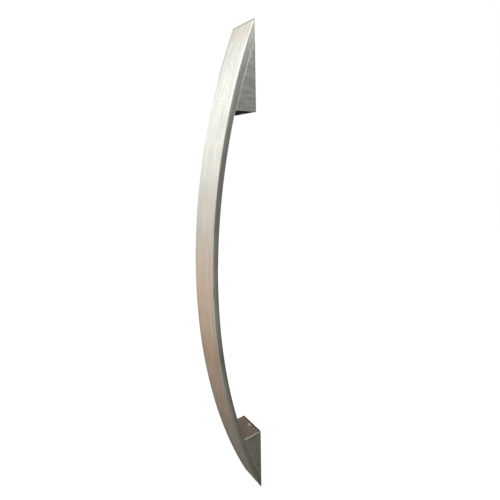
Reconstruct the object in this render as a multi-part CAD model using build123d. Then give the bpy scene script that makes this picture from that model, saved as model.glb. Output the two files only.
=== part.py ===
from build123d import *
from math import asin, cos, degrees, radians, sqrt
import os

# Curved pull handle: a flat bar bent to an arc, on two wedge feet with concealed fixings.
# X runs across the bar, Z runs up the handle and the door's face is the plane Y = 0.
# The handle stands out from the door towards -Y. All sizes are in millimetres.

# Driving dimensions of the bar
OVERALL_LENGTH = 440.0
BAR_WIDTH = 30.0
BAR_THICKNESS = 6.0
PROJECTION = 48.0
BAR_EDGE_RADIUS = 0.8
TIP_LAND = 0.8

# Driving dimensions of the feet
FOOT_LENGTH = 68.0
JOINT_CHAMFER = 0.6
EASED_EDGE = 0.2
END_FACE_EDGE_RADIUS = 0.6

# Driving dimensions of the fixings
FIXING_CENTRES = 340.0
BOSS_RADIUS = 6.0
BOSS_LENGTH = 9.0
BOSS_CLEARANCE = 0.1
BOSS_END_GAP = 0.4
BOSS_EDGE_CHAMFER = 0.4
BOLT_THREAD_RADIUS = 3.0
BOLT_TAPPING_RADIUS = 2.5
GROOVE_DEPTH = 0.8
GROOVE_FLOOR_WIDTH = 2.0

# Driving dimensions of the grub screws
SCREW_RADIUS = 1.5
SCREW_FROM_DOOR = 3.6
SCREW_SUNK_BY = 0.2
SCREW_POINT_RADIUS = 0.7
SCREW_EDGE_CHAMFER = 0.25
SCREW_MOUTH_CHAMFER = 0.2
SOCKET_ACROSS_FLATS = 1.5
SOCKET_DEPTH = 1.8

# Sizes worked out from the driving dimensions
HALF_LENGTH = OVERALL_LENGTH / 2
ARC_RISE = PROJECTION - TIP_LAND
FRONT_RADIUS = (HALF_LENGTH ** 2 + ARC_RISE ** 2) / (2 * ARC_RISE)
BACK_RADIUS = FRONT_RADIUS - BAR_THICKNESS
ARC_CENTRE_Y = FRONT_RADIUS - PROJECTION
FOOT_END_Z = HALF_LENGTH - FOOT_LENGTH
FIXING_Z = FIXING_CENTRES / 2
BORE_DEPTH = BOSS_LENGTH + BOSS_END_GAP
GROOVE_RADIUS = BOSS_RADIUS - GROOVE_DEPTH
SCREW_HEAD_Z = FOOT_END_Z + SCREW_SUNK_BY
SCREW_TIP_Z = FIXING_Z - GROOVE_RADIUS
SPARE = 5.0

BEND_AXIS = Axis((0, ARC_CENTRE_Y, 0), (1, 0, 0))


def door_side_block(low_z, high_z):
    """Everything in front of the door's face, with the two long edges at the door eased."""
    half_width = BAR_WIDTH / 2
    outline = Polyline(
        (half_width - EASED_EDGE, 0),
        (half_width + SPARE, -EASED_EDGE - SPARE),
        (half_width + SPARE, -PROJECTION - SPARE),
        (-half_width - SPARE, -PROJECTION - SPARE),
        (-half_width - SPARE, -EASED_EDGE - SPARE),
        (-half_width + EASED_EDGE, 0),
        close=True,
    )
    block = extrude(make_face(outline), amount=high_z - low_z, dir=(0, 0, 1))
    return block.translate((0, 0, low_z))


def bowed_bar():
    """Flat bar with rounded long edges, bent to one arc and cut flat in the door's face."""
    stock = RectangleRounded(BAR_WIDTH, BAR_THICKNESS, BAR_EDGE_RADIUS)
    crown = Pos(0, BAR_THICKNESS / 2 - PROJECTION) * stock
    half_bend = degrees(asin(HALF_LENGTH / BACK_RADIUS)) + 1
    ring = revolve(crown, axis=BEND_AXIS, revolution_arc=2 * half_bend)
    ring = ring.rotate(BEND_AXIS, -half_bend)
    return ring & door_side_block(-HALF_LENGTH, HALF_LENGTH)


def joint_disc():
    """Disc that fills the bar's inner arc; its chamfered rims leave the joint's V grooves."""
    disc = Pos(0, ARC_CENTRE_Y, 0) * Rot(0, 90, 0) * Cylinder(BACK_RADIUS, BAR_WIDTH)
    return chamfer(disc.edges().filter_by(GeomType.CIRCLE), JOINT_CHAMFER)


def foot_blank():
    """Square bar with the two side edges of its end face rounded."""
    blank = Box(BAR_WIDTH, PROJECTION, FOOT_LENGTH)
    blank = Pos(0, -PROJECTION / 2, FOOT_END_Z + FOOT_LENGTH / 2) * blank
    end_face = blank.faces().sort_by(Axis.Z)[0]
    return fillet(end_face.edges().filter_by(Axis.Y), END_FACE_EDGE_RADIUS)


def foot_wedge():
    """Upper foot before drilling: from its end face out to where the arc meets the door."""
    return foot_blank() & joint_disc() & door_side_block(FOOT_END_Z, HALF_LENGTH)


def boss_bore():
    """Blind bore in the foot's back that takes the fixing boss."""
    bore = Cylinder(BOSS_RADIUS + BOSS_CLEARANCE, BORE_DEPTH)
    return Pos(0, -BORE_DEPTH / 2, FIXING_Z) * Rot(90, 0, 0) * bore


def screw_hole():
    """Hole from the foot's end face into the boss bore, with a chamfered mouth."""
    depth = FIXING_Z - FOOT_END_Z
    shaft = Pos(0, -SCREW_FROM_DOOR, FOOT_END_Z + depth / 2) * Cylinder(SCREW_RADIUS, depth)
    mouth_height = SCREW_MOUTH_CHAMFER + SPARE
    mouth = Cone(SCREW_RADIUS + mouth_height, SCREW_RADIUS, mouth_height)
    mouth_z = FOOT_END_Z + SCREW_MOUTH_CHAMFER - mouth_height / 2
    return shaft + Pos(0, -SCREW_FROM_DOOR, mouth_z) * mouth


def upper_foot():
    """Wedge foot, drilled for its fixing boss and its grub screw."""
    return foot_wedge() - boss_bore() - screw_hole()


def upper_fixing_boss():
    """Turned boss, tapped for the door bolt, with a groove for the grub screw's point."""
    floor = GROOVE_FLOOR_WIDTH / 2
    lip = floor + GROOVE_DEPTH
    outline = Polyline(
        (BOLT_TAPPING_RADIUS, BOSS_LENGTH),
        (BOLT_TAPPING_RADIUS, BOLT_THREAD_RADIUS - BOLT_TAPPING_RADIUS),
        (BOLT_THREAD_RADIUS, 0),
        (BOSS_RADIUS - BOSS_EDGE_CHAMFER, 0),
        (BOSS_RADIUS, BOSS_EDGE_CHAMFER),
        (BOSS_RADIUS, SCREW_FROM_DOOR - lip),
        (GROOVE_RADIUS, SCREW_FROM_DOOR - floor),
        (GROOVE_RADIUS, SCREW_FROM_DOOR + floor),
        (BOSS_RADIUS, SCREW_FROM_DOOR + lip),
        (BOSS_RADIUS, BOSS_LENGTH - BOSS_EDGE_CHAMFER),
        (BOSS_RADIUS - BOSS_EDGE_CHAMFER, BOSS_LENGTH),
        close=True,
    )
    boss = revolve(make_face(outline), axis=Axis.Y)
    return Pos(0, 0, FIXING_Z) * Rot(180, 0, 0) * boss


def upper_grub_screw():
    """Socket set screw whose flat point bears in the boss's groove."""
    length = SCREW_TIP_Z - SCREW_HEAD_Z
    outline = Polyline(
        (0, 0),
        (SCREW_RADIUS - SCREW_EDGE_CHAMFER, 0),
        (SCREW_RADIUS, SCREW_EDGE_CHAMFER),
        (SCREW_RADIUS, length - SCREW_RADIUS + SCREW_POINT_RADIUS),
        (SCREW_POINT_RADIUS, length),
        (0, length),
        close=True,
    )
    body = revolve(make_face(Plane.XZ * outline), axis=Axis.Z)
    corner_radius = SOCKET_ACROSS_FLATS / 2 / cos(radians(30))
    socket = extrude(RegularPolygon(corner_radius, 6), amount=SOCKET_DEPTH)
    return Pos(0, -SCREW_FROM_DOOR, SCREW_HEAD_Z) * (body - socket)


def mirrored(piece):
    """The same piece at the handle's other end."""
    return mirror(piece, about=Plane.XY)


bar = bowed_bar()
pieces = {"bar": bar}
upper_pieces = {
    "foot": upper_foot(),
    "fixing_boss": upper_fixing_boss(),
    "grub_screw": upper_grub_screw(),
}
for name, piece in upper_pieces.items():
    pieces["upper_" + name] = piece
    pieces["lower_" + name] = mirrored(piece)

os.makedirs("parts", exist_ok=True)
for name, piece in pieces.items():
    export_step(piece, "parts/" + name + ".step")
    print(name, round(piece.volume, 1), "mm3")

arc_at_door = sqrt(BACK_RADIUS ** 2 - ARC_CENTRE_Y ** 2)
foot_depth = sqrt(BACK_RADIUS ** 2 - FOOT_END_Z ** 2) - ARC_CENTRE_Y
print("front radius", round(FRONT_RADIUS, 1), "foot tip at Z", round(arc_at_door, 1), "foot depth", round(foot_depth, 1))
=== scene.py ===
from math import asin, cos, pi, radians, sin, sqrt

import bpy
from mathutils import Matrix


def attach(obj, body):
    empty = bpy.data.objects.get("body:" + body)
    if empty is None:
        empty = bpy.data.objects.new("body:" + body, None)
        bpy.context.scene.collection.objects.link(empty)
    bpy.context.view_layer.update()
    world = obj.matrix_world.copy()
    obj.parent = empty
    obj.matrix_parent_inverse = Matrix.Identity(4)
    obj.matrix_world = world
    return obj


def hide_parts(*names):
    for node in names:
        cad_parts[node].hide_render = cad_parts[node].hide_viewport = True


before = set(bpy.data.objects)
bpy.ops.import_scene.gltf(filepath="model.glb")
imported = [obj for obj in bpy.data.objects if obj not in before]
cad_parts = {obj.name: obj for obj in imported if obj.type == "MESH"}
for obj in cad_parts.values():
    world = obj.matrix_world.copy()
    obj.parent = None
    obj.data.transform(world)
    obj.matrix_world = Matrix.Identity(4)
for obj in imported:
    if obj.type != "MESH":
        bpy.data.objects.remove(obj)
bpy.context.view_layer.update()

# The bar: one length of flat stainless bar with rounded long edges, bent to an arc, cut off in the
# door's face and brushed lengthways on a belt, so its fine lines follow the bend. It has the same
# form as its CAD solid, swept in much finer steps, so the light runs evenly along its edges.

OVERALL_LENGTH = 0.440
BAR_WIDTH = 0.030
BAR_THICKNESS = 0.006
PROJECTION = 0.048
TIP_LAND = 0.0008
BAR_EDGE_RADIUS = 0.0008
EASED_EDGE = 0.0002
ARC_RISE = PROJECTION - TIP_LAND
BAR_FRONT_RADIUS = ((OVERALL_LENGTH / 2) ** 2 + ARC_RISE ** 2) / (2 * ARC_RISE)
BEND_CENTRE_Y = BAR_FRONT_RADIUS - PROJECTION
BAR_MIDDLE_RADIUS = BAR_FRONT_RADIUS - BAR_THICKNESS / 2
BAR_OVERRUN = radians(1.0)
BAR_HALF_BEND = asin(OVERALL_LENGTH / 2 / (BAR_FRONT_RADIUS - BAR_THICKNESS)) + BAR_OVERRUN
BAR_STEPS = 300
CORNER_STEPS = 10
FLAT_BORDER = 0.00012
SHARP_ANGLE = radians(18.0)

BRUSHED_LIGHT = (0.745, 0.735, 0.705, 1.0)
BRUSHED_DARK = (0.635, 0.627, 0.598, 1.0)
BRUSHED_WARM = (0.735, 0.685, 0.645, 1.0)
BRUSHED_COOL = (0.662, 0.695, 0.665, 1.0)
PLAIN = (1.0, 1.0, 1.0, 1.0)

# Patterns in the brushing: marks in a metre, stretch across, through and along the bar, and how
# much finer detail rides on them. A spread is the span of a pattern from its dark to its light.
HAIRLINES = (7000.0, (1.0, 1.0, 0.012), 2.0)
STREAKS = (1100.0, (1.0, 1.0, 0.02), 3.0)
PATCHES = (170.0, (1.0, 1.0, 0.22), 3.0)
MOTTLE = (640.0, (1.0, 1.0, 0.11), 4.0, 0.72)
SPECKLE = (1150.0, (1.0, 1.0, 0.28), 2.0, 0.6)
STREAK_SHARE = 0.6
HAIRLINE_SHARE = 0.4
LINE_SPREAD = (0.36, 0.64)
PATCH_SPREAD = (0.38, 0.62)
BLOTCH_SPREAD = (0.33, 0.67)

# How strong each pattern is: the two heights between which it changes, and from what to what.
# Where a pattern has several such changes, they add up.
LINE_CONTRAST = 0.07
LINE_DEPTHS = (((0.06, -0.10), (LINE_CONTRAST, 0.18)), ((0.12, 0.20), (0.0, 0.06)))
BLOTCH_DEPTHS = (((0.05, 0.24), (0.03, 0.14)), ((0.06, -0.12), (0.0, 0.09)), ((0.165, 0.205), (0.0, 0.14)))
SPECKLE_Z = (0.06, 0.17)
SPECKLE_DEPTHS = (0.0, 0.075)
PATCH_Z = (0.02, -0.08)
PATCH_SHARES = (0.50, 0.80)
BLOTCH_LEVEL = 0.99

# The four long edges, lighter where worn, and painted brighter as a highlight that grows towards
# the top and fades at the tip
EDGE_BAND_WIDTH = 0.0011
EDGE_BAND_START = 1.2
EDGE_BAND_FULL = 0.3
EDGE_BRIGHT = (0.740, 0.738, 0.720, 1.0)
EDGE_WEAR = (0.15, 0.45)
EDGE_HIGHLIGHT_Z = (-0.12, 0.12)
EDGE_HIGHLIGHT_LEVELS = (1.04, 1.34)
EDGE_HIGHLIGHT_FADE_Z = (0.190, 0.212)
EDGE_HIGHLIGHT_FADE = 0.26
EDGE_SMOOTHNESS = 0.2

# Painted reflection tints on the front: a faint cool and a faint bronze band, each wavering, and
# cooler margins; low down the margins are painted darker as shade
COOL_ZONE = (0.052, (0.945, 0.980, 1.010, 1.0))
BRONZE_ZONE = (-0.056, (0.960, 0.880, 0.860, 1.0))
ZONE_REACH = 0.026
ZONE_WAVER = 0.014
MARGIN_TINT = (0.955, 0.972, 0.990, 1.0)
MARGIN_ACROSS = (0.0075, 0.0120)
MARGIN_Z = (-0.110, -0.080, 0.085, 0.115)
LOW_MARGIN_TINT = (0.905, 0.940, 0.955, 1.0)
LOW_MARGIN_ACROSS = (0.0085, 0.0125)
LOW_MARGIN_Z = (0.010, -0.030)
LOW_MARGIN_SLANT = -2.0
LOW_MARGIN_END_Z = (-0.124, -0.094)

# Painted shade on the upper end: warmer and darker towards the tip, darker still on its far half and
# far margin, and a painted warm shade on its last millimetres
TOP_END_SHADE_TINT = (0.800, 0.708, 0.655, 1.0)
TOP_END_SHADE_Z = (0.180, 0.212)
TOP_END_SHADE_SHARE = 0.45
FAR_HALF = (0.008, -0.010)
FAR_HALF_RAGGED = 0.008
FAR_HALF_SHARES = (0.15, 1.0)
FAR_HALF_SHADE = 0.805
FAR_MARGIN = (-0.0090, -0.0118)
FAR_MARGIN_RAGGED = 0.002
FAR_MARGIN_Z = (0.165, 0.190)
FAR_MARGIN_SHADE = 0.84
TOP_TINT = (0.950, 0.910, 0.860, 1.0)
TOP_TINT_Z = (0.204, 0.215)

# Painted light and shade on the sides: darker towards the back, lighter towards the front, near the
# upper tip and in a band along the middle, with painted reflection tints low down and at the top
SIDE_MARGIN = (0.0006, 0.0001)
SIDE_SHADE_DEPTH = (-0.0026, 0.0022)
SIDE_SHADES = (0.80, 1.06)
SIDE_TIP_LIGHT_Z = (0.186, 0.212)
SIDE_TIP_LIGHT_LEVEL = 1.45
SIDE_SHEEN_Z = (-0.135, -0.085, 0.040, 0.060)
SIDE_SHEEN_DEPTH = (-0.0012, 0.0024)
SIDE_SHEEN_GAIN = 0.48
LOW_SIDE_FRONT_TINT = (1.020, 0.975, 0.915, 1.0)
LOW_SIDE_BACK_TINT = (0.975, 1.015, 1.010, 1.0)
LOW_SIDE_Z = (0.0, -0.09)
COOL_BACK_DEPTH = (0.0016, -0.0016)
COOL_BACK_Z = (-0.160, -0.090)
TOP_SIDE_TINT = (0.955, 0.990, 1.010, 1.0)
TOP_SIDE_Z = (0.185, 0.205)

# Soft patches of painted light and shade on the sides: depth and height of the middle, half sizes,
# and how much lighter
SIDE_LIGHT_AND_SHADE = (
    (0.0017, 0.155, 0.0016, 0.050, 0.22),
    (0.0018, 0.208, 0.0016, 0.016, -0.18),
    (-0.0002, 0.052, 0.0022, 0.024, 0.22),
    (0.0020, 0.006, 0.0020, 0.014, -0.42),
    (-0.0008, -0.022, 0.0038, 0.022, 0.36),
    (-0.0022, 0.024, 0.0018, 0.012, 0.20),
    (0.0018, -0.136, 0.0018, 0.036, 0.15),
    (-0.0016, -0.042, 0.0016, 0.020, 0.26),
    (-0.0006, 0.187, 0.0016, 0.015, 0.16),
    (-0.0014, 0.206, 0.0012, 0.012, 0.12),
    (-0.0004, -0.058, 0.0022, 0.012, -0.14),
    (0.0004, -0.202, 0.0050, 0.032, -0.20),
)

# The same on the front, with the place across the bar first; the first is a small bright spot, the
# others are patches of painted light and shade
FRONT_LIGHT_AND_SHADE = (
    (0.0102, -0.1185, 0.0019, 0.0019, 0.28),
    (-0.0140, -0.125, 0.0055, 0.038, -0.24),
    (-0.0140, 0.184, 0.0050, 0.020, -0.16),
    (0.0130, 0.192, 0.0070, 0.026, 0.10),
    (0.0090, 0.143, 0.0120, 0.016, -0.10),
    (-0.0020, 0.087, 0.0260, 0.018, -0.07),
    (0.0020, -0.154, 0.0120, 0.020, 0.11),
    (0.0060, -0.070, 0.0090, 0.020, -0.08),
)
FRONT_MARGIN = (0.0006, 0.0002)

# The sawn tips: painted shade on the lower tip, and the sawn land duller and rougher
LOW_TIP_SHADE = 0.88
LOW_TIP_Z = (-0.202, -0.214)
TIP_DULL = (0.400, 0.385, 0.365, 1.0)
TIP_DULL_SHARE = 0.8
TIP_DULL_LENGTH = 0.0020
TIP_ROUGHER = 0.15

# How the steel shines: rougher in the brushed lines, and stretched across them by the brushing
LINE_ROUGHNESS = (0.20, 0.38)
MOTTLE_ROUGHNESS = (-0.03, 0.03)
LINE_RELIEF = {"Strength": 0.25, "Distance": 0.00002}
BRUSH_STRETCH = 0.55
QUARTER_TURN = 0.25
DARK_TO_LIGHT = (-1.0, 1.0)


class Tree:
    """A node tree with short calls to add a node, set its inputs and join it up."""

    def __init__(self, tree):
        self.tree = tree

    def join(self, value, socket):
        if isinstance(value, bpy.types.NodeSocket):
            self.tree.links.new(value, socket)
        else:
            socket.default_value = value

    def add(self, kind, inputs=(), **settings):
        node = self.tree.nodes.new(kind)
        for name, value in settings.items():
            setattr(node, name, value)
        for name, value in dict(inputs).items():
            self.join(value, node.inputs[name])
        return node

    def math(self, operation, *values, clamp=False):
        inputs = dict(enumerate(values))
        return self.add("ShaderNodeMath", inputs, operation=operation, use_clamp=clamp).outputs[0]

    def vector(self, operation, *values):
        return self.add("ShaderNodeVectorMath", dict(enumerate(values)), operation=operation).outputs[0]

    def length(self, vector):
        return self.add("ShaderNodeVectorMath", {0: vector}, operation="LENGTH").outputs["Value"]

    def parts(self, vector):
        return self.add("ShaderNodeSeparateXYZ", {0: vector}).outputs

    def joined(self, *values):
        return self.add("ShaderNodeCombineXYZ", dict(enumerate(values))).outputs[0]

    def ramp(self, value, low, high):
        """0 below low, 1 above high and smooth between; low may be the larger."""
        inputs = {"Value": value, "From Min": low, "From Max": high, "To Min": 0.0, "To Max": 1.0}
        return self.add("ShaderNodeMapRange", inputs, interpolation_type="SMOOTHSTEP").outputs["Result"]

    def straight(self, value, ends, levels):
        """In a straight line from the first level to the second as the value goes between its ends."""
        inputs = {"Value": value, "From Min": ends[0], "From Max": ends[1]}
        inputs.update({"To Min": levels[0], "To Max": levels[1]})
        return self.add("ShaderNodeMapRange", inputs, interpolation_type="LINEAR").outputs["Result"]

    def fit(self, value, low, high):
        """A 0 to 1 value carried to the range low to high."""
        return self.straight(value, (0.0, 1.0), (low, high))

    def graded(self, value, ends, levels):
        """Smoothly from the first level to the second as the value goes between its ends."""
        return self.fit(self.ramp(value, *ends), *levels)

    def between(self, value, start, full, fading, end):
        """1 from full to fading, and smoothly down to 0 at start and at end."""
        return self.math("MULTIPLY", self.ramp(value, end, fading), self.ramp(value, start, full))

    def noise(self, vector, scale, stretch=(1.0, 1.0, 1.0), detail=2.0, roughness=0.5):
        placed = self.vector("MULTIPLY", vector, tuple(scale * s for s in stretch))
        inputs = {"Vector": placed, "Scale": 1.0, "Detail": detail, "Roughness": roughness}
        return self.add("ShaderNodeTexNoise", inputs).outputs["Fac"]

    def scaled(self, colour, factor):
        node = self.add("ShaderNodeVectorMath", {0: colour, "Scale": factor}, operation="SCALE")
        return node.outputs[0]

    def blend(self, factor, first, second):
        node = self.add("ShaderNodeMix", data_type="RGBA")
        for socket, value in zip((node.inputs[0], node.inputs[6], node.inputs[7]), (factor, first, second)):
            self.join(value, socket)
        return node.outputs[2]

    def shaded(self, colour, mask, level):
        """The colour times the level where the mask is 1."""
        return self.scaled(colour, self.fit(mask, 1.0, level))

    def tinted(self, colour, mask, tint):
        """The colour times the tint where the mask is 1."""
        return self.vector("MULTIPLY", colour, self.blend(mask, PLAIN, tint))

    def varied(self, colour, pattern, depth, level=1.0):
        """The colour made lighter and darker by depth as the pattern goes from 1 to -1."""
        return self.scaled(colour, self.math("MULTIPLY_ADD", pattern, depth, level))


def new_finish(name):
    finish = bpy.data.materials.new(name)
    finish.use_nodes = True
    return finish, Tree(finish.node_tree), finish.node_tree.nodes["Principled BSDF"]


def object_point(tree):
    return tree.add("ShaderNodeTexCoord").outputs["Object"]


def bend_arm(tree, point):
    """From the bend's axis to the point."""
    return tree.vector("SUBTRACT", point, (0.0, BEND_CENTRE_Y, 0.0))


def off_axis_length(tree, first, second):
    """Distance from an axis, from the two measures square to it."""
    return tree.math("SQRT", tree.math("ADD", tree.math("MULTIPLY", first, first),
                                       tree.math("MULTIPLY", second, second)))


def along_the_bend(tree, arm):
    """Across the bar, out from the bend's axis, and both with the way along the arc, in metres."""
    part = tree.parts(arm)
    radius = off_axis_length(tree, part[1], part[2])
    turn = tree.math("ARCTAN2", part[2], tree.math("MULTIPLY", part[1], -1.0))
    arc = tree.math("MULTIPLY", turn, BAR_MIDDLE_RADIUS)
    return part[0], radius, tree.joined(part[0], radius, arc)


def long_edge_mask(tree, across, depth, width):
    """1 on the bar's four rounded long edges and 0 away from them."""
    start = width * EDGE_BAND_START
    full = width * EDGE_BAND_FULL
    near_side = tree.ramp(tree.math("ABSOLUTE", across), BAR_WIDTH / 2 - start, BAR_WIDTH / 2 - full)
    near_face = tree.ramp(tree.math("ABSOLUTE", depth), BAR_THICKNESS / 2 - start, BAR_THICKNESS / 2 - full)
    return tree.math("MULTIPLY", near_side, near_face)


def by_height(tree, up, changes):
    """The sum of what each change gives at this height."""
    total = 0.0
    for ends, levels in changes:
        total = tree.math("ADD", total, tree.graded(up, ends, levels))
    return total


def soft_patches(tree, first, up, marks):
    """The level at a place on a face that carries these soft light and dark marks."""
    spot = tree.joined(first, up)
    level = 1.0
    for x, z, half_width, half_height, gain in marks:
        off = tree.vector("SUBTRACT", spot, (x, z, 0.0))
        off = tree.length(tree.vector("MULTIPLY", off, (1 / half_width, 1 / half_height, 0.0)))
        level = tree.math("MULTIPLY", level, tree.math("MULTIPLY_ADD", tree.ramp(off, 1.0, 0.0), gain, 1.0))
    return level


bar_finish, tree, shader = new_finish("brushed_bar_finish")
point = object_point(tree)
arm = bend_arm(tree, point)
across, radius, bend = along_the_bend(tree, arm)
off_middle = tree.math("ABSOLUTE", across)
depth = tree.math("SUBTRACT", radius, BAR_MIDDLE_RADIUS)
up = tree.parts(point)[2]
patches = tree.noise(bend, *PATCHES)
mottle = tree.noise(bend, *MOTTLE)
speckle = tree.noise(bend, *SPECKLE)
lines = tree.math("ADD", tree.math("MULTIPLY", tree.noise(bend, *STREAKS), STREAK_SHARE),
                  tree.math("MULTIPLY", tree.noise(bend, *HAIRLINES), HAIRLINE_SHARE))

grain = tree.blend(tree.ramp(lines, *LINE_SPREAD), BRUSHED_DARK, BRUSHED_LIGHT)
warm_or_cool = tree.blend(tree.ramp(patches, *PATCH_SPREAD), BRUSHED_COOL, BRUSHED_WARM)
colour = tree.blend(tree.graded(up, PATCH_Z, PATCH_SHARES), grain, warm_or_cool)
blotches = tree.graded(mottle, BLOTCH_SPREAD, DARK_TO_LIGHT)
colour = tree.varied(colour, blotches, by_height(tree, up, BLOTCH_DEPTHS), BLOTCH_LEVEL)
scratches = tree.graded(lines, LINE_SPREAD, DARK_TO_LIGHT)
colour = tree.varied(colour, scratches, by_height(tree, up, LINE_DEPTHS))
specks = tree.graded(speckle, LINE_SPREAD, DARK_TO_LIGHT)
colour = tree.varied(colour, specks, tree.graded(up, SPECKLE_Z, SPECKLE_DEPTHS))

edges = long_edge_mask(tree, across, depth, EDGE_BAND_WIDTH)
# The long edges lighter where worn, then a painted highlight on them that grows towards the top
colour = tree.blend(tree.math("MULTIPLY", edges, tree.fit(patches, *EDGE_WEAR)), colour, EDGE_BRIGHT)
edge_highlight = tree.math("SUBTRACT", tree.straight(up, EDGE_HIGHLIGHT_Z, EDGE_HIGHLIGHT_LEVELS),
                       tree.graded(up, EDGE_HIGHLIGHT_FADE_Z, (0.0, EDGE_HIGHLIGHT_FADE)))
colour = tree.shaded(colour, edges, edge_highlight)

# Painted reflection tints on the front, and painted shade along its margins low down
wavering = tree.math("ADD", up, tree.fit(patches, -ZONE_WAVER, ZONE_WAVER))
for zone_z, zone_tint in (COOL_ZONE, BRONZE_ZONE):
    off = tree.math("ABSOLUTE", tree.math("SUBTRACT", wavering, zone_z))
    colour = tree.tinted(colour, tree.ramp(off, ZONE_REACH, 0.0), zone_tint)
margin = tree.math("MULTIPLY", tree.ramp(off_middle, *MARGIN_ACROSS), tree.between(up, *MARGIN_Z))
colour = tree.tinted(colour, margin, MARGIN_TINT)
slanted = tree.math("ADD", up, tree.math("MULTIPLY", across, LOW_MARGIN_SLANT))
low_margin = tree.math("MULTIPLY", tree.ramp(up, *LOW_MARGIN_Z), tree.ramp(slanted, *LOW_MARGIN_END_Z))
low_margin = tree.math("MULTIPLY", tree.ramp(off_middle, *LOW_MARGIN_ACROSS), low_margin)
colour = tree.tinted(colour, low_margin, LOW_MARGIN_TINT)

# Painted shade on the upper end, darker on its far half and far margin, warmer at the tip
top_end_shade = tree.ramp(up, *TOP_END_SHADE_Z)
ragged = tree.math("ADD", across, tree.math("MULTIPLY", mottle, FAR_HALF_RAGGED))
far_half = tree.math("MULTIPLY", top_end_shade, tree.graded(ragged, FAR_HALF, FAR_HALF_SHARES))
colour = tree.shaded(colour, far_half, FAR_HALF_SHADE)
colour = tree.blend(tree.math("MULTIPLY", top_end_shade, TOP_END_SHADE_SHARE), colour, TOP_END_SHADE_TINT)
ragged = tree.math("ADD", across, tree.math("MULTIPLY", mottle, FAR_MARGIN_RAGGED))
far_margin = tree.math("MULTIPLY", tree.ramp(ragged, *FAR_MARGIN), tree.ramp(up, *FAR_MARGIN_Z))
colour = tree.shaded(colour, far_margin, FAR_MARGIN_SHADE)
colour = tree.tinted(colour, tree.ramp(up, *TOP_TINT_Z), TOP_TINT)

# Painted light and shade on the sides: darker at the back, lighter at the front, by the tip and in a band
on_side = tree.ramp(off_middle, BAR_WIDTH / 2 - SIDE_MARGIN[0], BAR_WIDTH / 2 - SIDE_MARGIN[1])
side_sheen = tree.math("MULTIPLY", tree.between(up, *SIDE_SHEEN_Z), tree.ramp(depth, *SIDE_SHEEN_DEPTH))
side_level = tree.straight(depth, SIDE_SHADE_DEPTH, SIDE_SHADES)
side_level = tree.math("MULTIPLY", side_level, tree.graded(up, SIDE_TIP_LIGHT_Z, (1.0, SIDE_TIP_LIGHT_LEVEL)))
side_level = tree.math("MULTIPLY", side_level, tree.math("MULTIPLY_ADD", side_sheen, SIDE_SHEEN_GAIN, 1.0))
# Patches of painted light and shade on the sides
side_level = tree.math("MULTIPLY", side_level, soft_patches(tree, depth, up, SIDE_LIGHT_AND_SHADE))
colour = tree.shaded(colour, on_side, side_level)
# Patches of painted light and shade on the front, and a small bright spot
on_front = tree.ramp(depth, BAR_THICKNESS / 2 - FRONT_MARGIN[0], BAR_THICKNESS / 2 - FRONT_MARGIN[1])
colour = tree.shaded(colour, on_front, soft_patches(tree, across, up, FRONT_LIGHT_AND_SHADE))
# Painted reflection tints on the sides, low down and near the top
cool_back = tree.math("MULTIPLY", tree.ramp(depth, *COOL_BACK_DEPTH), tree.ramp(up, *COOL_BACK_Z))
low_side_tint = tree.blend(cool_back, LOW_SIDE_FRONT_TINT, LOW_SIDE_BACK_TINT)
colour = tree.tinted(colour, tree.math("MULTIPLY", on_side, tree.ramp(up, *LOW_SIDE_Z)), low_side_tint)
colour = tree.tinted(colour, tree.math("MULTIPLY", on_side, tree.ramp(up, *TOP_SIDE_Z)), TOP_SIDE_TINT)

# Painted shade on the lower tip
colour = tree.shaded(colour, tree.ramp(up, *LOW_TIP_Z), LOW_TIP_SHADE)
tip_z = OVERALL_LENGTH / 2
tip = tree.ramp(tree.math("ABSOLUTE", up), tip_z - TIP_DULL_LENGTH, tip_z - TIP_DULL_LENGTH / 2)
colour = tree.blend(tree.math("MULTIPLY", tip, TIP_DULL_SHARE), colour, TIP_DULL)
rough = tree.math("ADD", tree.fit(lines, *LINE_ROUGHNESS), tree.fit(mottle, *MOTTLE_ROUGHNESS))
rough = tree.math("ADD", rough, tree.math("MULTIPLY", tip, TIP_ROUGHER))
relief = tree.math("MULTIPLY", lines, tree.fit(edges, 1.0, EDGE_SMOOTHNESS))
brush_way = tree.vector("NORMALIZE", tree.vector("CROSS_PRODUCT", (1.0, 0.0, 0.0), arm))
tree.join(colour, shader.inputs["Base Color"])
tree.join(rough, shader.inputs["Roughness"])
tree.join(tree.add("ShaderNodeBump", {"Height": relief, **LINE_RELIEF}).outputs[0], shader.inputs["Normal"])
tree.join(brush_way, shader.inputs["Tangent"])
shader.inputs["Metallic"].default_value = 1.0
shader.inputs["Anisotropic"].default_value = BRUSH_STRETCH
shader.inputs["Anisotropic Rotation"].default_value = QUARTER_TURN


def shape_tree(name, inputs):
    """A Geometry Nodes tree with these named inputs, and its input sockets."""
    group = bpy.data.node_groups.new(name, "GeometryNodeTree")
    group.interface.new_socket("Geometry", in_out="INPUT", socket_type="NodeSocketGeometry")
    for title, kind in inputs:
        group.interface.new_socket(title, in_out="INPUT", socket_type="NodeSocket" + kind)
    group.interface.new_socket("Geometry", in_out="OUTPUT", socket_type="NodeSocketGeometry")
    tree = Tree(group)
    return tree, tree.add("NodeGroupInput").outputs


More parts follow.
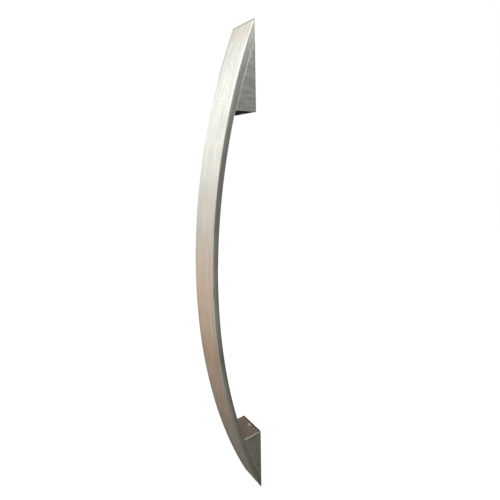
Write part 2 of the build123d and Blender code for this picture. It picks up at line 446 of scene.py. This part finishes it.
def end_shape_tree(tree, shape, finish):
    """Smooth shading apart from the sharp edges, then the plain mesh in its finish."""
    smooth = {"Geometry": shape, "Shade Smooth": True}
    shape = tree.add("GeometryNodeSetShadeSmooth", smooth, domain="FACE").outputs[0]
    angle = tree.add("GeometryNodeInputMeshEdgeAngle").outputs["Unsigned Angle"]
    sharp = tree.math("GREATER_THAN", angle, SHARP_ANGLE)
    creased = {"Geometry": shape, "Selection": sharp, "Shade Smooth": False}
    shape = tree.add("GeometryNodeSetShadeSmooth", creased, domain="EDGE").outputs[0]
    shape = tree.add("GeometryNodeRealizeInstances", {"Geometry": shape}).outputs[0]
    shape = tree.add("GeometryNodeSetMaterial", {"Geometry": shape, "Material": finish}).outputs[0]
    tree.add("NodeGroupOutput", {"Geometry": shape})


def outline_mesh(name, points):
    """A closed outline of edges in the XY plane."""
    mesh = bpy.data.meshes.new(name)
    edges = [(index, (index + 1) % len(points)) for index in range(len(points))]
    mesh.from_pydata([(x, y, 0.0) for x, y in points], edges, [])
    return mesh


def grown_piece(name, outline, group, values):
    """Run the tree on the outline and keep the result as a piece with a plain mesh."""
    piece = bpy.data.objects.new(name, outline)
    bpy.context.scene.collection.objects.link(piece)
    modifier = piece.modifiers.new("shape", "NODES")
    modifier.node_group = group
    for item in group.interface.items_tree:
        if item.item_type == "SOCKET" and item.in_out == "INPUT" and item.name in values:
            modifier[item.identifier] = values[item.name]
    evaluated = piece.evaluated_get(bpy.context.evaluated_depsgraph_get())
    mesh = bpy.data.meshes.new_from_object(evaluated)
    piece.modifiers.remove(modifier)
    piece.data = mesh
    return piece


def bar_section():
    """The bar's rounded section; a narrow border keeps each flat face flat up to its corners."""
    half = (BAR_THICKNESS / 2 - BAR_EDGE_RADIUS, BAR_WIDTH / 2 - BAR_EDGE_RADIUS)
    points = []
    for corner, (x_side, y_side) in enumerate(((1, 1), (-1, 1), (-1, -1), (1, -1))):
        start = corner * pi / 2
        centre = (x_side * half[0], y_side * half[1])
        rim = []
        for step in range(CORNER_STEPS + 1):
            turn = start + step * pi / 2 / CORNER_STEPS
            rim.append((centre[0] + BAR_EDGE_RADIUS * cos(turn), centre[1] + BAR_EDGE_RADIUS * sin(turn)))
        before = (rim[0][0] + FLAT_BORDER * sin(start), rim[0][1] - FLAT_BORDER * cos(start))
        after = (rim[-1][0] - FLAT_BORDER * cos(start), rim[-1][1] - FLAT_BORDER * sin(start))
        points += [before] + rim + [after]
    return points


tree, given = shape_tree("sweep_and_cut", (
    ("Bend Radius", "Float"), ("Half Bend", "Float"), ("Bend Centre", "Vector"), ("Steps", "Int"),
    ("Door Block Size", "Vector"), ("Door Block Centre", "Vector"), ("Easing Prism Size", "Vector"),
    ("Easing Prism Centre", "Vector"), ("Finish", "Material")))
section = tree.add("GeometryNodeMeshToCurve", {"Mesh": given["Geometry"]}).outputs[0]
arc = tree.add("GeometryNodeCurveArc", {
    "Resolution": given["Steps"],
    "Radius": given["Bend Radius"],
    "Start Angle": tree.math("MULTIPLY", given["Half Bend"], -1.0),
    "Sweep Angle": tree.math("MULTIPLY", given["Half Bend"], 2.0),
}, mode="RADIUS").outputs["Curve"]
arc = tree.add("GeometryNodeSetCurveNormal", {"Curve": arc}, mode="Z_UP").outputs[0]
swept = {"Curve": arc, "Profile Curve": section, "Fill Caps": True}
swept = tree.add("GeometryNodeCurveToMesh", swept).outputs[0]
swept = tree.add("GeometryNodeTransform", {
    "Geometry": swept, "Translation": given["Bend Centre"], "Rotation": (pi / 2, 0.0, -pi / 2)}).outputs[0]
block = tree.add("GeometryNodeMeshCube", {"Size": given["Door Block Size"]}).outputs["Mesh"]
block = tree.add("GeometryNodeTransform", {
    "Geometry": block, "Translation": given["Door Block Centre"]}).outputs[0]
prism = tree.add("GeometryNodeMeshCube", {"Size": given["Easing Prism Size"]}).outputs["Mesh"]
prism = tree.add("GeometryNodeTransform", {
    "Geometry": prism,
    "Translation": given["Easing Prism Centre"],
    "Rotation": (0.0, 0.0, pi / 4),
}).outputs[0]
cut = tree.add("GeometryNodeMeshBoolean", operation="INTERSECT", solver="EXACT")
for solid in (swept, block, prism):
    tree.join(solid, cut.inputs["Mesh 2"])
end_shape_tree(tree, cut.outputs["Mesh"], given["Finish"])

prism_reach = 0.1
block_depth = PROJECTION * 2
bar = grown_piece("bowed_bar", outline_mesh("bar_section", bar_section()), tree.tree, {
    "Bend Radius": BAR_MIDDLE_RADIUS,
    "Half Bend": BAR_HALF_BEND,
    "Bend Centre": (0.0, BEND_CENTRE_Y, 0.0),
    "Steps": BAR_STEPS,
    "Door Block Size": (BAR_WIDTH * 2, block_depth, OVERALL_LENGTH),
    "Door Block Centre": (0.0, -block_depth / 2, 0.0),
    "Easing Prism Size": (prism_reach * sqrt(2.0), prism_reach * sqrt(2.0), OVERALL_LENGTH * 2),
    "Easing Prism Centre": (0.0, BAR_WIDTH / 2 - EASED_EDGE - prism_reach, 0.0),
    "Finish": bar_finish,
})
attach(bar, "root")
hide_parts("bar")

# The feet: two steel wedges cut from thicker bar and joined to the bar's back, then ground flush
# with its sides, so their lines run straight up the handle. Their end faces are left as they were
# cut and heated, dull and dark brown.

FOOT_END_Z = 0.152
BAR_BACK_RADIUS = BAR_FRONT_RADIUS - BAR_THICKNESS
JOINT_GROOVE = 0.0006
END_EDGE_RADIUS = 0.0006

# Patterns in the grinding, given as those of the brushing are, but straight up the foot
FOOT_HAIRLINES = (6000.0, (1.0, 1.0, 0.012), 2.0)
FOOT_STREAKS = (900.0, (1.0, 1.0, 0.05), 3.0)
FOOT_CROSS_MARKS = (520.0, (1.0, 0.10, 1.0), 3.0)
FOOT_CLOUDS = (260.0, (1.0, 0.6, 0.9), 4.0, 0.65)
FOOT_MOTTLE = (600.0, (1.0, 1.0, 0.25), 4.0, 0.7)
FOOT_LINE_SHARES = (0.45, 0.3, 0.25)
FOOT_LINE_SPREAD = (0.38, 0.62)
FOOT_HAIRLINE_SPREAD = (0.34, 0.66)
FOOT_CLOUD_SPREAD = (0.36, 0.64)
FOOT_WARM_SPREAD = (0.45, 0.65)
FOOT_MOTTLE_SPREAD = (0.35, 0.65)

# The ground faces, with painted shade along the door, by the hand gap and on all of the lower foot,
# where the grinding marks are fainter too, and a painted warmer reflection tint on the lower foot
GROUND_LIGHT = (0.705, 0.702, 0.672, 1.0)
GROUND_DARK = (0.590, 0.592, 0.565, 1.0)
GROUND_WARM = (0.665, 0.640, 0.600, 1.0)
WARM_SHARE = 0.5
CLOUD_DEPTHS = (-0.09, 0.07)
CROSS_MARK_DEPTHS = (-0.07, 0.07)
FOOT_MOTTLE_LEVELS = (0.96, 1.03)
LOWER_FOOT_WEAR = 0.55
DOOR_EDGE = 0.0011
DOOR_EDGE_SHADE = 0.72
BELOW_SHADE = 0.90
BELOW_SHADE_Z = (FOOT_END_Z + 0.042, FOOT_END_Z + 0.014)
LOWER_TINT = (1.000, 0.993, 0.955, 1.0)

# Painted light and shade in the V groove along the joint, dark on the upper foot and darker by the
# hand gap, light on the lower, and painted highlights on the rounded edges of the end faces. A pair
# of margins says where a colour begins and where it is full, in parts of the groove or the radius.
GROOVE_MARGINS = (1.1, 0.8)
END_EDGE_MARGINS = (1.1, 0.8)
GROOVE_HIGH = (0.500, 0.516, 0.492, 1.0)
GROOVE_BY_HAND_GAP = (0.390, 0.402, 0.384, 1.0)
GROOVE_DARKENS_Z = (0.182, 0.160)
GROOVE_LOW = (0.860, 0.860, 0.830, 1.0)
END_EDGE_BY_DOOR = (1.06, 1.00, 0.94, 1.0)
END_EDGE_BY_BAR = (1.55, 1.45, 1.36, 1.0)
END_EDGE_CHANGES_Y = (-0.002, -0.042)
UPPER_END_EDGE_TINT = (1.42, 1.44, 1.42, 1.0)
UPPER_END_EDGE_ROUGHER = 0.26

# The end faces, dull brown as cut, with painted shade making the upper foot's downward face nearly
# black, and nearly black along the door edge
CUT_BROWN = (0.229, 0.156, 0.128, 1.0)
CUT_GREY = (0.122, 0.099, 0.086, 1.0)
CUT_BLACK = (0.017, 0.009, 0.008, 1.0)
CUT_FACE_DEPTH = 0.00010
CUT_DOOR_EDGE = 0.0019
CUT_DOOR_EDGE_FULL = 0.6
CUT_SPREAD = (0.40, 0.60)
UPPER_END_SHADE = 0.95
DOOR_EDGE_DARKENED = 0.85
CUT_FACE_ROUGHER = 0.4
GROUND_ROUGHNESS = (0.30, 0.46)
GROUND_RELIEF = {"Strength": 0.3, "Distance": 0.00003}
CUT_FACE_SHINE = 0.02

foot_finish, tree, shader = new_finish("ground_foot_finish")
point = object_point(tree)
across, radius, bend = along_the_bend(tree, bend_arm(tree, point))
place = tree.parts(point)
height = tree.math("ABSOLUTE", place[2])
upper = tree.math("GREATER_THAN", place[2], 0.0)
hairlines = tree.noise(point, *FOOT_HAIRLINES)
streaks = tree.noise(point, *FOOT_STREAKS)
cross_marks = tree.noise(point, *FOOT_CROSS_MARKS)
clouds = tree.noise(point, *FOOT_CLOUDS)
mottle = tree.noise(point, *FOOT_MOTTLE)
lines = 0.0
for pattern, share in zip((streaks, hairlines, cross_marks), FOOT_LINE_SHARES):
    lines = tree.math("ADD", lines, tree.math("MULTIPLY", pattern, share))

grain = tree.blend(tree.ramp(lines, *FOOT_LINE_SPREAD), GROUND_DARK, GROUND_LIGHT)
grain = tree.varied(grain, tree.graded(hairlines, FOOT_HAIRLINE_SPREAD, DARK_TO_LIGHT), LINE_CONTRAST)
warmth = tree.graded(clouds, FOOT_WARM_SPREAD, (0.0, WARM_SHARE))
grain = tree.blend(warmth, grain, GROUND_WARM)
wear = tree.fit(upper, LOWER_FOOT_WEAR, 1.0)
grain = tree.varied(grain, tree.graded(clouds, FOOT_CLOUD_SPREAD, CLOUD_DEPTHS), wear)
grain = tree.varied(grain, tree.graded(cross_marks, FOOT_LINE_SPREAD, CROSS_MARK_DEPTHS), wear)
grain = tree.scaled(grain, tree.graded(mottle, FOOT_MOTTLE_SPREAD, FOOT_MOTTLE_LEVELS))
# Painted shade along the door, by the hand gap and on all of the lower foot
grain = tree.shaded(grain, tree.ramp(place[1], -DOOR_EDGE, -DOOR_EDGE / 2), DOOR_EDGE_SHADE)
grain = tree.shaded(grain, tree.ramp(place[2], *BELOW_SHADE_Z), BELOW_SHADE)

# Painted shade in the joint's groove on the upper foot, a painted light line in it on the lower
groove = tree.ramp(radius, *(BAR_BACK_RADIUS - JOINT_GROOVE * part for part in GROOVE_MARGINS))
groove_high = tree.blend(tree.ramp(place[2], *GROOVE_DARKENS_Z), GROOVE_HIGH, GROOVE_BY_HAND_GAP)
grain = tree.blend(groove, grain, tree.blend(upper, GROOVE_LOW, groove_high))
# Painted highlights on the rounded side edges of the end faces
at_end = tree.ramp(height, *(FOOT_END_Z + END_EDGE_RADIUS * part for part in END_EDGE_MARGINS))
at_side = tree.ramp(tree.math("ABSOLUTE", across), BAR_WIDTH / 2 - END_EDGE_RADIUS,
                    BAR_WIDTH / 2 - END_EDGE_RADIUS / 2)
end_edge = tree.math("MULTIPLY", at_end, at_side)
by_bar = tree.ramp(place[1], *END_EDGE_CHANGES_Y)
lower_end_edge_tint = tree.blend(by_bar, END_EDGE_BY_DOOR, END_EDGE_BY_BAR)
grain = tree.tinted(grain, end_edge, tree.blend(upper, lower_end_edge_tint, UPPER_END_EDGE_TINT))
# A painted warmer reflection tint on the lower foot
grain = tree.vector("MULTIPLY", grain, tree.blend(upper, LOWER_TINT, PLAIN))

cut_face = tree.ramp(height, FOOT_END_Z + CUT_FACE_DEPTH, FOOT_END_Z + CUT_FACE_DEPTH / 2)
# Painted shade on the upper foot's downward end face; the end faces nearly black along the door edge
dark_door_edge = tree.ramp(place[1], -CUT_DOOR_EDGE, -CUT_DOOR_EDGE * CUT_DOOR_EDGE_FULL)
darkened = tree.math("MAXIMUM", tree.math("MULTIPLY", upper, UPPER_END_SHADE),
                      tree.math("MULTIPLY", dark_door_edge, DOOR_EDGE_DARKENED))
cut = tree.blend(tree.ramp(mottle, *CUT_SPREAD), CUT_GREY, CUT_BROWN)
cut = tree.blend(darkened, cut, CUT_BLACK)
rough = tree.math("ADD", tree.fit(lines, *GROUND_ROUGHNESS),
                  tree.math("MULTIPLY", cut_face, CUT_FACE_ROUGHER), clamp=True)
upper_end_edge = tree.math("MULTIPLY", end_edge, upper)
rough = tree.math("ADD", rough, tree.math("MULTIPLY", upper_end_edge, UPPER_END_EDGE_ROUGHER))
relief = tree.add("ShaderNodeBump", {"Height": tree.blend(cut_face, lines, mottle), **GROUND_RELIEF})
tree.join(tree.blend(cut_face, grain, cut), shader.inputs["Base Color"])
tree.join(rough, shader.inputs["Roughness"])
tree.join(tree.math("SUBTRACT", 1.0, cut_face), shader.inputs["Metallic"])
tree.join(relief.outputs[0], shader.inputs["Normal"])
shader.inputs["Specular IOR Level"].default_value = CUT_FACE_SHINE


def finish_cad_piece(node_name, finish):
    """The CAD solid stays as it is and takes this finish in its own slots."""
    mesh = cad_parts[node_name].data
    for index in range(len(mesh.materials)):
        mesh.materials[index] = finish


finish_cad_piece("upper_foot", foot_finish)
finish_cad_piece("lower_foot", foot_finish)

# The fixing bosses: turned steel slugs in bores in the feet's backs, each with a V groove round it
# for the grub screw's point. They are tapped M6 for the bolts that come through the door. The CAD
# solid has the plain tapping hole, so a boss with its thread cut takes its place.

BOSS_Z = 0.170
BOSS_RADIUS = 0.006
BOSS_LENGTH = 0.009
BOSS_EDGE_CHAMFER = 0.0004
GROOVE_RADIUS = 0.0052
GROOVE_FROM_DOOR = 0.0036
GROOVE_HALF_FLOOR = 0.0010
GROOVE_HALF_MOUTH = 0.0018
TAPPING_RADIUS = 0.0025
THREAD_ROOT_RADIUS = 0.0030
THREAD_PITCH = 0.0010
THREAD_CREST_FLAT = 1 / 4
THREAD_ROOT_FLAT = 1 / 8
STEPS_PER_PITCH = 16
BOSS_SEGMENTS = 96
BORE_WALL_REACH = 1.001

TURNED_LIGHT = (0.74, 0.73, 0.71, 1.0)
TURNED_DARK = (0.55, 0.545, 0.53, 1.0)
TURNED_SPREAD = (0.35, 0.65)
LATHE_LINES = (5200.0, (1.0, 1.0, 1.0), 3.0, 0.6)
LATHE_RUN_OUT = 0.05
OIL_SMEARS = (420.0, (1.0, 1.0, 1.0), 3.0)
SMEAR_LEVELS = (0.88, 1.04)
TURNED_ROUGHNESS = (0.20, 0.40)
TURNED_RELIEF = {"Strength": 0.5, "Distance": 0.00002}

boss_finish, tree, shader = new_finish("turned_boss_finish")
point = object_point(tree)
place = tree.parts(point)
off_axis = tree.math("SUBTRACT", tree.math("ABSOLUTE", place[2]), BOSS_Z)
from_axis = off_axis_length(tree, place[0], off_axis)
lathe = tree.joined(from_axis, place[1], tree.math("MULTIPLY", place[2], LATHE_RUN_OUT))
turning = tree.noise(lathe, *LATHE_LINES)
smears = tree.noise(point, *OIL_SMEARS)
colour = tree.blend(tree.ramp(turning, *TURNED_SPREAD), TURNED_DARK, TURNED_LIGHT)
colour = tree.scaled(colour, tree.graded(smears, TURNED_SPREAD, SMEAR_LEVELS))
relief = tree.add("ShaderNodeBump", {"Height": turning, **TURNED_RELIEF})
tree.join(colour, shader.inputs["Base Color"])
tree.join(tree.fit(turning, *TURNED_ROUGHNESS), shader.inputs["Roughness"])
tree.join(relief.outputs[0], shader.inputs["Normal"])
shader.inputs["Metallic"].default_value = 1.0


def boss_section():
    """Half the boss cut through its axis: x runs out from its outer wall, y away from the door."""
    lead_in = THREAD_ROOT_RADIUS - TAPPING_RADIUS
    points = [
        (THREAD_ROOT_RADIUS, 0.0),
        (BOSS_RADIUS - BOSS_EDGE_CHAMFER, 0.0),
        (BOSS_RADIUS, BOSS_EDGE_CHAMFER),
        (BOSS_RADIUS, GROOVE_FROM_DOOR - GROOVE_HALF_MOUTH),
        (GROOVE_RADIUS, GROOVE_FROM_DOOR - GROOVE_HALF_FLOOR),
        (GROOVE_RADIUS, GROOVE_FROM_DOOR + GROOVE_HALF_FLOOR),
        (BOSS_RADIUS, GROOVE_FROM_DOOR + GROOVE_HALF_MOUTH),
        (BOSS_RADIUS, BOSS_LENGTH - BOSS_EDGE_CHAMFER),
        (BOSS_RADIUS - BOSS_EDGE_CHAMFER, BOSS_LENGTH),
    ]
    bored = round(BOSS_LENGTH / THREAD_PITCH * STEPS_PER_PITCH)
    for step in range(bored):
        depth = BOSS_LENGTH * (1 - step / bored)
        points.append((TAPPING_RADIUS + max(lead_in - depth, 0.0), depth))
    return [(radius - BOSS_RADIUS, depth) for radius, depth in points]


tree, given = shape_tree("turn_and_tap", (
    ("Outer Radius", "Float"), ("Segments", "Int"), ("Tapping Radius", "Float"), ("Root Radius", "Float"),
    ("Pitch", "Float"), ("Place", "Vector"), ("Finish", "Material")))
section = tree.add("GeometryNodeMeshToCurve", {"Mesh": given["Geometry"]}).outputs[0]
ring = {"Resolution": given["Segments"], "Radius": given["Outer Radius"]}
ring = tree.add("GeometryNodeCurvePrimitiveCircle", ring, mode="RADIUS").outputs["Curve"]
ring = tree.add("GeometryNodeSetCurveNormal", {"Curve": ring}, mode="Z_UP").outputs[0]
turned = tree.add("GeometryNodeCurveToMesh", {"Curve": ring, "Profile Curve": section}).outputs[0]
point = tree.add("GeometryNodeInputPosition").outputs[0]
place = tree.parts(point)
radius = off_axis_length(tree, place[0], place[1])
turns = tree.math("DIVIDE", tree.math("ARCTAN2", place[1], place[0]), 2 * pi)
phase = tree.math("SUBTRACT", tree.math("DIVIDE", place[2], given["Pitch"]), turns)
ridge = tree.math("PINGPONG", phase, 0.5)
cutter = tree.straight(ridge, (THREAD_CREST_FLAT / 2, 0.5 - THREAD_ROOT_FLAT / 2),
                       (given["Tapping Radius"], given["Root Radius"]))
widened = tree.math("DIVIDE", tree.math("MAXIMUM", radius, cutter), radius)
stretch = tree.joined(widened, widened, 1.0)
bored = tree.math("LESS_THAN", radius, tree.math("MULTIPLY", given["Root Radius"], BORE_WALL_REACH))
tapped = {"Geometry": turned, "Selection": bored, "Position": tree.vector("MULTIPLY", point, stretch)}
tapped = tree.add("GeometryNodeSetPosition", tapped).outputs[0]
tapped = tree.add("GeometryNodeTransform", {
    "Geometry": tapped, "Translation": given["Place"], "Rotation": (-pi / 2, 0.0, 0.0)}).outputs[0]
end_shape_tree(tree, tapped, given["Finish"])

for name, height in (("upper", BOSS_Z), ("lower", -BOSS_Z)):
    outline = outline_mesh(name + "_boss_section", boss_section())
    boss = grown_piece(name + "_tapped_boss", outline, tree.tree, {
        "Outer Radius": BOSS_RADIUS,
        "Segments": BOSS_SEGMENTS,
        "Tapping Radius": TAPPING_RADIUS,
        "Root Radius": THREAD_ROOT_RADIUS,
        "Pitch": THREAD_PITCH,
        "Place": (0.0, 0.0, height),
        "Finish": boss_finish,
    })
    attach(boss, "root")
    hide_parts(name + "_fixing_boss")

# The grub screws: M3 socket screws of plain steel, one in through each foot's end face. The flat
# point bears in the boss's groove and draws the foot against the door.

SCREW_FROM_DOOR = 0.0036
SCREW_HEAD_Z = FOOT_END_Z + 0.0002
SOCKET_RADIUS = 0.00087
SOCKET_RIM = 1.05
SOCKET_SHADE_DEPTH = 0.0003
SCREW_LIGHT = (0.95, 0.85, 0.805, 1.0)
SCREW_DARK = (0.76, 0.68, 0.645, 1.0)
SOCKET_SHADE_COLOUR = (0.070, 0.060, 0.052, 1.0)
SOCKET_SHADE_SHARE = 0.85
SCREW_WEAR = (900.0, (1.0, 1.0, 1.0), 4.0)
SCREW_SPREAD = (0.35, 0.65)
SCREW_ROUGHNESS = (0.18, 0.34)
SCREW_RELIEF = {"Strength": 0.2, "Distance": 0.00003}

screw_finish, tree, shader = new_finish("screw_steel_finish")
point = object_point(tree)
wear = tree.noise(point, *SCREW_WEAR)
colour = tree.blend(tree.ramp(wear, *SCREW_SPREAD), SCREW_DARK, SCREW_LIGHT)
off_axis = tree.vector("ADD", point, (0.0, SCREW_FROM_DOOR, 0.0))
off_axis = tree.length(tree.vector("MULTIPLY", off_axis, (1.0, 1.0, 0.0)))
depth = tree.math("SUBTRACT", tree.math("ABSOLUTE", tree.parts(point)[2]), SCREW_HEAD_Z)
# Painted shade in the hex socket's recess
in_socket = tree.math("MULTIPLY", tree.ramp(off_axis, SOCKET_RADIUS * SOCKET_RIM, SOCKET_RADIUS),
                      tree.ramp(depth, 0.0, SOCKET_SHADE_DEPTH))
colour = tree.blend(tree.math("MULTIPLY", in_socket, SOCKET_SHADE_SHARE), colour, SOCKET_SHADE_COLOUR)
relief = tree.add("ShaderNodeBump", {"Height": wear, **SCREW_RELIEF})
tree.join(colour, shader.inputs["Base Color"])
tree.join(tree.fit(wear, *SCREW_ROUGHNESS), shader.inputs["Roughness"])
tree.join(relief.outputs[0], shader.inputs["Normal"])
shader.inputs["Metallic"].default_value = 1.0
finish_cad_piece("upper_grub_screw", screw_finish)
finish_cad_piece("lower_grub_screw", screw_finish)

# The studio: a pale floor a metre under the handle, where a floor is under a door handle, and a dim
# room with several soft lights in it. Lamps and a window stand before and behind the handle, high
# up, and paler walls and a warm bounce from below fill the rest.

FLOOR_DROP = 1.0
FLOOR_REACH = 6.0
FLOOR_PALE = (0.84, 0.84, 0.83, 1.0)
FLOOR_LIFT = (0.27, 0.24, 0.26, 1.0)
FLOOR_ROUGHNESS = 0.9
WHITE = (1.0, 1.0, 1.0, 1.0)

# Each soft light: the way to its middle, how narrow it is, and its tone, which is below nothing
# where a corner of the room is darker than the rest
SOFT_LIGHTS = {
    "window": ((-0.71, -0.50, 0.49), 6.5, (1.46, 1.53, 1.47)),
    "lamp_in_front": ((0.32, -0.51, 0.80), 6.7, (1.24, 1.27, 1.24)),
    "lamp_behind": ((0.39, 0.42, 0.82), 6.7, (1.42, 1.52, 1.50)),
    "side_wall": ((0.86, -0.48, -0.15), 6.7, (0.77, 0.75, 0.57)),
    "warm_bounce": ((-0.71, -0.61, -0.36), 7.6, (0.60, 0.40, 0.275)),
    "dark_corner": ((0.857, 0.507, -0.08), 40.0, (-0.100, -0.092, -0.072)),
    "low_glow": ((0.81, 0.452, -0.37), 60.0, (0.090, 0.088, 0.078)),
    "floor_glow": ((-0.65, 0.03, -0.76), 8.0, (0.024, 0.022, 0.014)),
    "back_fill": ((-0.22, 0.95, 0.22), 7.0, (0.85, 0.87, 0.86)),
}
ROOM = (0.125, 0.122, 0.112)
BACKDROP_WAY = (-0.812, 0.583, 0.0)
BACKDROP_RIM = (0.72, 0.84)
BACKDROP_FOOT = (-0.50, -0.25)

floor_finish, tree, shader = new_finish("floor_pale")
path = tree.add("ShaderNodeLightPath").outputs
mirrored = tree.math("MAXIMUM", path["Is Glossy Ray"], path["Is Transmission Ray"])
tree.join(tree.math("MAXIMUM", path["Is Camera Ray"], mirrored), shader.inputs["Emission Strength"])
shader.inputs["Base Color"].default_value = FLOOR_PALE
shader.inputs["Roughness"].default_value = FLOOR_ROUGHNESS
shader.inputs["Specular IOR Level"].default_value = 0.0
shader.inputs["Emission Color"].default_value = FLOOR_LIFT
floor_mesh = bpy.data.meshes.new("floor")
corners = [(x * FLOOR_REACH, y * FLOOR_REACH, -FLOOR_DROP) for x, y in ((-1, -1), (1, -1), (1, 1), (-1, 1))]
floor_mesh.from_pydata(corners, [], [(0, 1, 2, 3)])
floor_mesh.materials.append(floor_finish)
floor = bpy.data.objects.new("floor", floor_mesh)
bpy.context.scene.collection.objects.link(floor)
floor.visible_diffuse = False
floor.visible_glossy = False

studio = bpy.data.worlds.new("studio")
bpy.context.scene.world = studio
studio.use_nodes = True
tree = Tree(studio.node_tree)
background = studio.node_tree.nodes["Background"]
way = tree.add("ShaderNodeTexCoord").outputs["Generated"]


def towards(direction):
    """How far the looked-at direction agrees with this one, from -1 to 1."""
    return tree.add("ShaderNodeVectorMath", {0: way, 1: direction}, operation="DOT_PRODUCT").outputs["Value"]


def soft_light(direction, focus, tone):
    """A round light without an edge, brightest in this direction; more focus makes it smaller."""
    away = tree.math("SUBTRACT", towards(direction), 1.0)
    return tree.scaled(tone, tree.math("EXPONENT", tree.math("MULTIPLY", away, focus)))


room = ROOM
for light in SOFT_LIGHTS.values():
    room = tree.vector("ADD", soft_light(*light), room)
path = tree.add("ShaderNodeLightPath").outputs
behind = tree.math("MULTIPLY", tree.ramp(towards(BACKDROP_WAY), *BACKDROP_RIM),
                   tree.ramp(tree.parts(way)[2], *BACKDROP_FOOT))
mirrored = tree.math("MAXIMUM", path["Is Glossy Ray"], path["Is Transmission Ray"])
white = tree.math("MAXIMUM", path["Is Camera Ray"], tree.math("MULTIPLY", behind, mirrored))
tree.join(tree.blend(white, room, WHITE), background.inputs["Color"])
background.inputs["Strength"].default_value = 1.0

# The camera: at the photo's viewing angle, where the fit of the handle's outline put it
CAMERA_PLACE = (0.27228, -0.19188, 0.11604)
CAMERA_TURN = (76.076, 1.110, 54.304)
CAMERA_LENS = 26.822
CAMERA_SENSOR = 36.0
CAMERA_NEAR = 0.01
CAMERA_FAR = 50.0

lens = bpy.data.cameras.new("photo_view")
lens.lens = CAMERA_LENS
lens.sensor_width = CAMERA_SENSOR
lens.clip_start = CAMERA_NEAR
lens.clip_end = CAMERA_FAR
camera = bpy.data.objects.new("photo_view", lens)
camera.location = CAMERA_PLACE
camera.rotation_euler = tuple(radians(a) for a in CAMERA_TURN)
bpy.context.scene.collection.objects.link(camera)
bpy.context.scene.camera = camera
bpy.context.scene.view_settings.view_transform = "Standard"
